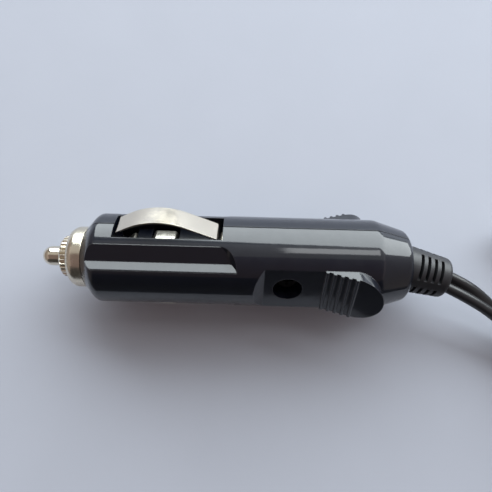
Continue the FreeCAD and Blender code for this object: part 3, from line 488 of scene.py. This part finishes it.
def lead_tube(line, profile):
    """Tube with the twin profile along the line, flat at both ends and upright in the hank."""
    along = [0.0]
    for a, b in zip(line, line[1:]):
        along.append(along[-1] + (b - a).length)
    total = along[-1]
    up = Vector((0, 0, 1))
    vertices = []
    for i, place in enumerate(line):
        way = (line[min(i + 1, len(line) - 1)] - line[max(i - 1, 0)]).normalized()
        side = way.cross(up).normalized()
        lift = side.cross(way).normalized()
        upright = smooth_step((along[i] - TWIST_START) / TWIST_LENGTH)
        upright -= smooth_step((along[i] - total + UNTWIST_START) / UNTWIST_LENGTH)
        turn = math.radians(90) * upright
        width_way = side * math.cos(turn) + lift * math.sin(turn)
        thick_way = way.cross(width_way)
        for x, y in profile:
            vertices.append(place + width_way * x + thick_way * y)
    count = len(profile)
    faces = []
    for i in range(len(line) - 1):
        for k in range(count):
            a = i * count + k
            b = i * count + (k + 1) % count
            faces.append((a, b, b + count, a + count))
    faces.append(tuple(reversed(range(count))))
    faces.append(tuple(range((len(line) - 1) * count, len(line) * count)))
    mesh = bpy.data.meshes.new("twin_lead")
    mesh.from_pydata(vertices, [], faces)
    mesh.update()
    piece = bpy.data.objects.new("twin_lead", mesh)
    bpy.context.scene.collection.objects.link(piece)
    return piece


def tie(side, strands, conductor_r):
    """Band round one run of the hank: the hull of its strands, opened at both ends and given a wall."""
    bpy.ops.object.select_all(action="DESELECT")
    centre_x, centre_y = HANK_CENTRE
    halves = []
    for reach, level in strands:
        for lift in (-conductor_r, conductor_r):
            place = Vector((centre_x + HANK_RUN / 2, centre_y + side * reach, level)) * MM
            place.z += lift
            bpy.ops.mesh.primitive_cylinder_add(
                vertices=32, radius=conductor_r + TIE_ROOM * MM, depth=TIE_WIDTH * MM,
                location=place, rotation=(0, math.radians(90), 0))
            halves.append(bpy.context.object)
    for half in halves:
        half.select_set(True)
    bpy.ops.object.join()
    piece = bpy.context.object
    bpy.ops.object.transform_apply(location=True, rotation=True, scale=True)
    bpy.ops.object.mode_set(mode="EDIT")
    bpy.ops.mesh.select_all(action="SELECT")
    bpy.ops.mesh.convex_hull()
    bpy.ops.mesh.select_all(action="DESELECT")
    bpy.ops.mesh.select_mode(type="FACE")
    bpy.ops.object.mode_set(mode="OBJECT")
    for face in piece.data.polygons:
        face.select = abs(face.normal.x) > 0.9
    bpy.ops.object.mode_set(mode="EDIT")
    bpy.ops.mesh.delete(type="FACE")
    bpy.ops.mesh.select_mode(type="VERT")
    bpy.ops.object.mode_set(mode="OBJECT")
    wall = piece.modifiers.new("wall", "SOLIDIFY")
    wall.thickness = TIE_THICKNESS * MM
    wall.offset = 1
    bpy.ops.object.modifier_apply(modifier=wall.name)
    bpy.ops.object.shade_smooth_by_angle(angle=SHARP_ANGLE)
    return piece


class PLUG_OT_lead(bpy.types.Operator):
    """Makes the twin lead with its hank and the ties that hold it"""
    bl_idname = "lighter_plug.lead"
    bl_label = "Twin lead"

    def execute(self, context):
        sizes = context.scene.lighter_plug.lead
        line = lead_line()
        piece = lead_tube(line, twin_profile(sizes.conductor_r, sizes.groove_half))
        select_only(piece)
        bpy.ops.object.mode_set(mode="EDIT")
        bpy.ops.mesh.select_all(action="SELECT")
        bpy.ops.mesh.normals_make_consistent(inside=False)
        bpy.ops.object.mode_set(mode="OBJECT")
        bpy.ops.object.shade_smooth_by_angle(angle=math.radians(50))
        material = moulded_plastic("lead_jacket", tuple(sizes.colour), 0.34, 6000.0, 2.0e-6)
        finish_piece(piece, "twin_lead", material, "housing")
        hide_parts("cord_lead", "cord_coil", "cord_tail")
        vinyl = moulded_plastic("tie_vinyl", (0.02, 0.02, 0.022), 0.4)
        for name, (side, strands) in TIES.items():
            finish_piece(tie(side, strands, sizes.conductor_r), name, vinyl, "housing")
        return {"FINISHED"}


def select_where(test):
    """Selects the vertices of the mesh in edit mode that pass the test, and nothing else."""
    bpy.ops.mesh.select_all(action="DESELECT")
    bpy.ops.object.mode_set(mode="OBJECT")
    for vertex in bpy.context.object.data.vertices:
        vertex.select = test(vertex.co)
    bpy.ops.object.mode_set(mode="EDIT")


def barrel_body():
    """The round outside of the barrel and its nose cone, to trim pieces with."""
    bpy.ops.mesh.primitive_cylinder_add(
        vertices=256, radius=BARREL_R * MM, depth=-NOSE_CONE_END_X * MM,
        location=(NOSE_CONE_END_X / 2 * MM, 0, 0), rotation=(0, math.radians(90), 0))
    body = bpy.context.object
    bpy.ops.object.transform_apply(location=True, rotation=True, scale=True)
    bpy.ops.object.mode_set(mode="EDIT")
    bpy.ops.mesh.select_mode(type="VERT")
    select_where(lambda place: place.x < (NOSE_CONE_END_X + 1) * MM)
    forward = (NOSE_FACE_X - NOSE_CONE_END_X) * MM
    narrower = NOSE_FACE_R / BARREL_R
    bpy.ops.mesh.extrude_region_move(TRANSFORM_OT_translate={"value": (forward, 0, 0)})
    bpy.ops.transform.resize(value=(1, narrower, narrower), center_override=(NOSE_FACE_X * MM, 0, 0))
    select_where(lambda place: abs(place.x - NOSE_CONE_END_X * MM) < 0.01 * MM)
    bpy.ops.mesh.bevel(offset=NOSE_CONE_ROUND * MM, offset_type="OFFSET", segments=12, affect="EDGES")
    bpy.ops.object.mode_set(mode="OBJECT")
    return body


def groove_floor():
    """Shallow floor of one groove: its section, drawn out along the barrel and trimmed to it."""
    bpy.ops.object.select_all(action="DESELECT")
    body = barrel_body()
    start_x, end_x = GROOVE_ENDS
    bpy.ops.object.select_all(action="DESELECT")
    bpy.ops.mesh.primitive_plane_add(size=2 * MM)
    piece = bpy.context.object
    corners = [vertex.co.copy() for vertex in piece.data.vertices]
    bpy.ops.object.mode_set(mode="EDIT")
    for index, (leaf, near) in zip(PLANE_CORNERS, GROOVE_SECTION):
        corner = corners[index]
        target = Vector((start_x, 0, 0)) * MM + (LEAF_WAY * leaf + NEAR_WAY * near) * MM
        select_where(lambda place: (place - corner).length < 0.01 * MM)
        bpy.ops.transform.translate(value=target - corner)
    bpy.ops.mesh.select_all(action="SELECT")
    backward = (end_x - start_x) * MM
    bpy.ops.mesh.extrude_region_move(TRANSFORM_OT_translate={"value": (backward, 0, 0)})
    bpy.ops.mesh.select_all(action="SELECT")
    bpy.ops.mesh.normals_make_consistent(inside=False)
    bpy.ops.object.mode_set(mode="OBJECT")
    trim = piece.modifiers.new("trim", "BOOLEAN")
    trim.operation = "INTERSECT"
    trim.object = body
    trim.solver = "EXACT"
    bpy.ops.object.modifier_apply(modifier=trim.name)
    bpy.data.objects.remove(body)
    return piece


def turned_to_side(leaf_side, near_side):
    """Matrix that carries a piece by the upper leaf spring on the near shell to another side."""
    drawn = Matrix((Vector((1, 0, 0)), LEAF_WAY, NEAR_WAY)).transposed()
    flip = Matrix.Diagonal((1, leaf_side, near_side))
    return (drawn @ flip @ drawn.transposed()).to_4x4()


class PLUG_OT_shells(bpy.types.Operator):
    """Finishes the two moulded half shells and lays the floors of their grooves"""
    bl_idname = "lighter_plug.shells"
    bl_label = "Half shells"

    def execute(self, context):
        sizes = context.scene.lighter_plug.shell
        # The shells' edges get a painted highlight, a lighter colour along them
        plastic = moulded_plastic(
            "shell_plastic", tuple(sizes.colour), sizes.roughness, gloss=sizes.gloss, edge_lightening=0.06)
        dress("shell_near", plastic)
        dress("shell_far", plastic)
        first = groove_floor()
        for number, (leaf_side, near_side) in enumerate(GROOVE_SIDES, start=1):
            piece = first
            if number > 1:
                piece = bpy.data.objects.new("groove_floor", first.data.copy())
                context.scene.collection.objects.link(piece)
                piece.data.transform(turned_to_side(leaf_side, near_side))
            if leaf_side * near_side < 0:
                piece.data.flip_normals()
            finish_piece(piece, f"groove_floor_{number}", plastic, "housing")
        return {"FINISHED"}


def merged_copy(node_name):
    """A piece of its own from a CAD node's mesh, with its loose triangles merged."""
    source = NODES[node_name]
    piece = bpy.data.objects.new(node_name, source.data.copy())
    piece.data.transform(source.matrix_world)
    bpy.context.scene.collection.objects.link(piece)
    select_only(piece)
    bpy.ops.mesh.customdata_custom_splitnormals_clear()
    bpy.ops.object.mode_set(mode="EDIT")
    bpy.ops.mesh.select_all(action="SELECT")
    bpy.ops.mesh.remove_doubles(threshold=0.001 * MM)
    bpy.ops.mesh.normals_make_consistent(inside=False)
    bpy.ops.object.mode_set(mode="OBJECT")
    bpy.ops.object.shade_smooth_by_angle(angle=SHARP_ANGLE)
    return piece


class PLUG_OT_nose(bpy.types.Operator):
    """Finishes the nose cap, the pin and a copy of the spring that rides on the housing"""
    bl_idname = "lighter_plug.nose"
    bl_label = "Nose cap and pin"

    def execute(self, context):
        metal = context.scene.lighter_plug.metal
        dress("nose_cap", plated_metal("cap_plate", tuple(metal.cap_colour), 0.24, 2500.0))
        dress("contact_pin", plated_metal("pin_plate", shade(metal.cap_colour, 1.05), 0.16, 3000.0))
        wire = plated_metal("spring_wire", (0.6, 0.6, 0.6), 0.3, 3000.0)
        spring = merged_copy("pin_spring")
        finish_piece(spring, "pressed_spring", wire, "housing")
        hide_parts("pin_spring")
        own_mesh(spring)
        return {"FINISHED"}


class PLUG_OT_leaves(bpy.types.Operator):
    """Finishes the leaf springs and the folded strap"""
    bl_idname = "lighter_plug.leaves"
    bl_label = "Leaf springs and strap"

    def execute(self, context):
        metal = context.scene.lighter_plug.metal
        leaf = plated_metal(
            "leaf_plate", tuple(metal.leaf_colour), metal.leaf_roughness, 6000.0,
            grain_way=(0.03, 1.0, 1.0), depth=2.0e-6)
        strap = plated_metal(
            "strap_plate", (0.74, 0.70, 0.62), 0.3, 5000.0, grain_way=(0.05, 1.0, 1.0), depth=2.0e-6)
        for name in ("leaf_spring_top", "leaf_spring_bottom"):
            dress(name, leaf)
        dress("ground_strap", strap)
        dress("rear_contact", strap)
        return {"FINISHED"}


class PLUG_OT_fuse(bpy.types.Operator):
    """Finishes the glass fuse"""
    bl_idname = "lighter_plug.fuse"
    bl_label = "Fuse"

    def execute(self, context):
        caps = plated_metal("fuse_plate", (0.75, 0.75, 0.73), 0.22, 2500.0)
        for name in ("fuse_cap_front", "fuse_cap_rear", "fuse_wire"):
            dress(name, caps)
        dress("fuse_glass", clear_glass("fuse_glass"))
        return {"FINISHED"}


class PLUG_OT_screw_and_wires(bpy.types.Operator):
    """Finishes the assembly screw and the inner wires"""
    bl_idname = "lighter_plug.screw_and_wires"
    bl_label = "Screw and wires"

    def execute(self, context):
        dress("assembly_screw", plated_metal("screw_black", (0.07, 0.07, 0.075), 0.25, 3000.0))
        dress("positive_wire", moulded_plastic("wire_red", (0.45, 0.03, 0.03), 0.4))
        dress("negative_wire", moulded_plastic("wire_black", (0.02, 0.02, 0.02), 0.4))
        return {"FINISHED"}


class PLUG_OT_relief(bpy.types.Operator):
    """Finishes the strain relief"""
    bl_idname = "lighter_plug.relief"
    bl_label = "Strain relief"

    def execute(self, context):
        vinyl = moulded_plastic("relief_vinyl", (0.016, 0.016, 0.019), 0.42, 5000.0, 3.0e-6)
        dress("strain_relief", vinyl)
        return {"FINISHED"}


class PLUG_OT_dc_plug(bpy.types.Operator):
    """Finishes the small DC plug"""
    bl_idname = "lighter_plug.dc_plug"
    bl_label = "DC plug"

    def execute(self, context):
        vinyl = moulded_plastic("dc_vinyl", (0.016, 0.016, 0.019), 0.4, 5000.0, 3.0e-6)
        dress("dc_overmould", vinyl)
        plate = plated_metal("dc_plate", (0.8, 0.78, 0.72), 0.18, 3000.0)
        dress("dc_barrel_sleeve", plate)
        dress("dc_centre_contact", plate)
        dress("dc_insulator", moulded_plastic("dc_insulator", (0.02, 0.02, 0.02), 0.4))
        return {"FINISHED"}


# Stage

def paper_material(colour):
    """Smooth paper with faint fibres. Past a line in front of the plug its colour turns dark for glossy rays
    only: a painted dark reflection in the plug, while the camera still sees pale paper there.
    """
    material, tree, shader, at = new_material("paper")
    fibre = noise(tree, at, 900.0, 5.0, 0.7)
    patch = noise(tree, at, 45.0, 3.0, 0.5)
    paper = two_colours(tree, patch, shade(colour, 0.97), shade(colour, 1.03))
    axes = tree.nodes.new("ShaderNodeSeparateXYZ")
    tree.links.new(at, axes.inputs["Vector"])
    past_reflection_line = ranged(tree, axes.outputs["Y"], 1.0, 0.0, DARK_REFLECTION_FROM_Y - DARK_REFLECTION_BLUR, DARK_REFLECTION_FROM_Y)
    rays = tree.nodes.new("ShaderNodeLightPath")
    # Painted reflection: past the line the paper's colour is dark for glossy rays only
    dark_reflection_mask = maths(tree, "MULTIPLY", past_reflection_line, rays.outputs["Is Glossy Ray"])
    paper_with_dark_reflection = two_colours(tree, dark_reflection_mask, colour, DARK_REFLECTION_COLOUR)
    tree.links.new(paper, paper_with_dark_reflection.node.inputs["A"])
    tree.links.new(paper_with_dark_reflection, shader.inputs["Base Color"])
    bumped(tree, shader, fibre, 3.0e-5, 0.5)
    shader.inputs["Roughness"].default_value = 0.85
    shader.inputs["Specular IOR Level"].default_value = 0.2
    return material


def area_light(name, place, target, size, colour, power):
    """A soft rectangular light that faces a point."""
    light = bpy.data.lights.new(name, "AREA")
    light.shape = "RECTANGLE"
    light.size, light.size_y = size
    light.energy = power
    light.color = colour
    lamp = bpy.data.objects.new(name, light)
    lamp.location = place
    lamp.rotation_euler = (Vector(target) - Vector(place)).to_track_quat("-Z", "Y").to_euler()
    bpy.context.scene.collection.objects.link(lamp)


def photo_camera(lens):
    """Camera almost straight above the plug, turned a little about its view."""
    ahead = (CAMERA_TARGET - CAMERA_PLACE).normalized()
    right = Vector((1, 0, 0))
    up = right.cross(ahead)
    turned_up = up * math.cos(CAMERA_TILT) - right * math.sin(CAMERA_TILT)
    turned_right = right * math.cos(CAMERA_TILT) + up * math.sin(CAMERA_TILT)
    data = bpy.data.cameras.new("photo_camera")
    data.lens = lens
    data.sensor_width = SENSOR_WIDTH
    data.clip_start = 0.005
    camera = bpy.data.objects.new("photo_camera", data)
    turn = Matrix((turned_right, turned_up, -ahead)).transposed()
    camera.matrix_world = Matrix.Translation(CAMERA_PLACE) @ turn.to_4x4()
    bpy.context.scene.collection.objects.link(camera)
    bpy.context.scene.camera = camera


class PLUG_OT_stage(bpy.types.Operator):
    """Lays out the paper, the lights and the camera"""
    bl_idname = "lighter_plug.stage"
    bl_label = "Stage"

    def execute(self, context):
        sizes = context.scene.lighter_plug.stage
        bpy.ops.object.select_all(action="DESELECT")
        bpy.ops.mesh.primitive_plane_add(size=SHEET_SIZE, location=(0, 0, FLOOR_Z))
        floor = context.object
        bpy.ops.object.transform_apply(location=True, rotation=True, scale=True)
        floor.name = "paper_sheet"
        floor.data.materials.append(paper_material(tuple(sizes.paper)))
        for name, (place, target, size, colour, power) in LIGHTS.items():
            area_light(name, place, target, size, colour, getattr(sizes, power))
        world = bpy.data.worlds.new("room")
        context.scene.world = world
        world.use_nodes = True
        background = world.node_tree.nodes["Background"]
        background.inputs["Color"].default_value = (*ROOM_COLOUR, 1)
        background.inputs["Strength"].default_value = sizes.ambient
        context.scene.view_settings.view_transform = "Standard"
        photo_camera(sizes.lens)
        return {"FINISHED"}


class PLUG_PT_sidebar(bpy.types.Panel):
    """Shows the plug's settings and the buttons that run its steps"""
    bl_idname = "PLUG_PT_sidebar"
    bl_label = "Lighter plug"
    bl_space_type = "VIEW_3D"
    bl_region_type = "UI"
    bl_category = "Lighter plug"

    def draw(self, context):
        settings = context.scene.lighter_plug
        for group in (settings.lead, settings.shell, settings.metal, settings.stage):
            box = self.layout.box()
            for name in group.__annotations__:
                box.prop(group, name)
        for operator in OPERATORS:
            self.layout.operator(operator.bl_idname)


SETTINGS = (LeadSettings, ShellSettings, MetalSettings, StageSettings, PlugSettings)
OPERATORS = (
    PLUG_OT_stage,
    PLUG_OT_lead,
    PLUG_OT_shells,
    PLUG_OT_nose,
    PLUG_OT_leaves,
    PLUG_OT_fuse,
    PLUG_OT_screw_and_wires,
    PLUG_OT_relief,
    PLUG_OT_dc_plug,
)
CLASSES = SETTINGS + OPERATORS + (PLUG_PT_sidebar,)


def register():
    for one in CLASSES:
        bpy.utils.register_class(one)
    bpy.types.Scene.lighter_plug = PointerProperty(type=PlugSettings)


def unregister():
    del bpy.types.Scene.lighter_plug
    for one in reversed(CLASSES):
        bpy.utils.unregister_class(one)


def main():
    register()
    bpy.ops.lighter_plug.stage()
    bpy.ops.lighter_plug.lead()
    bpy.ops.lighter_plug.shells()
    bpy.ops.lighter_plug.nose()
    bpy.ops.lighter_plug.leaves()
    bpy.ops.lighter_plug.fuse()
    bpy.ops.lighter_plug.screw_and_wires()
    bpy.ops.lighter_plug.relief()
    bpy.ops.lighter_plug.dc_plug()


if __name__ == "__main__":
    main()
